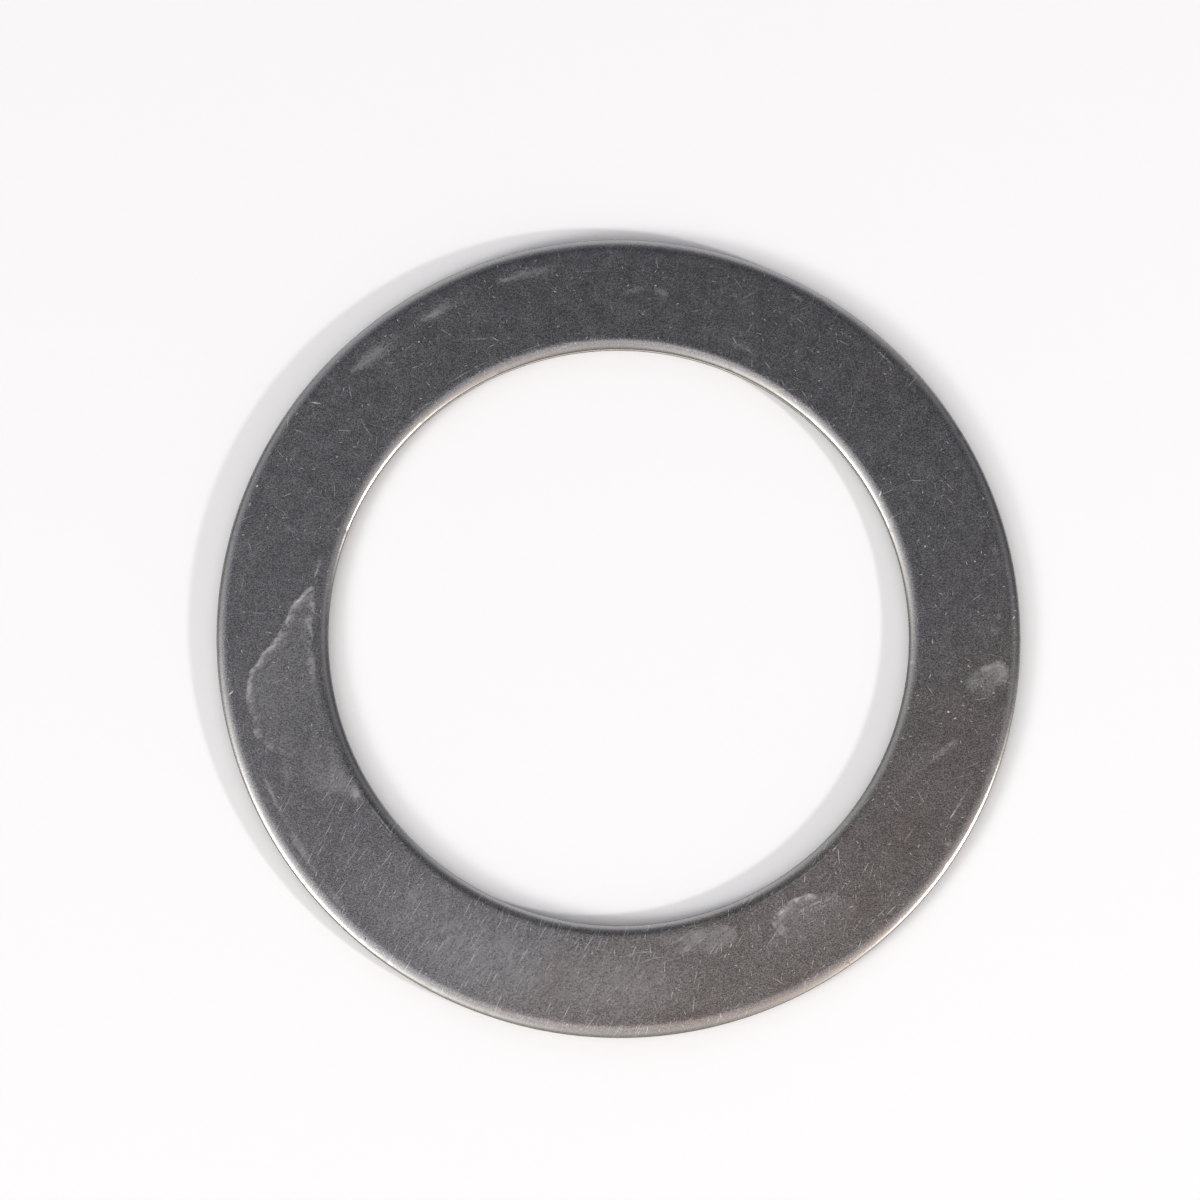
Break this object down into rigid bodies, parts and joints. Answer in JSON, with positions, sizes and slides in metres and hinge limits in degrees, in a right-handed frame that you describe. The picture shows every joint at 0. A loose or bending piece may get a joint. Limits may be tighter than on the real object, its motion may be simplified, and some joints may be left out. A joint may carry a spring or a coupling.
{
  "type": "flat washer",
  "caption": "Large flat steel ring washer, stamped from sheet, with a plain wide bore and softly rolled-over edges on its upper face.",
  "frame": {"origin": "centre of the bore at the resting face", "axes": "+Z along the bore axis, out of the face with the rolled-over edges; X and Y lie in the resting face and are alike"},
  "size_m": [0.09, 0.09, 0.002],
  "materials": {
    "tumbled_steel": "stamped cold-rolled steel, tumbled to a dark satin grey, with brighter worn shoulders"
  },
  "bodies": {
    "root": {"washer_ring": "tumbled_steel"}
  },
  "joints": []
}
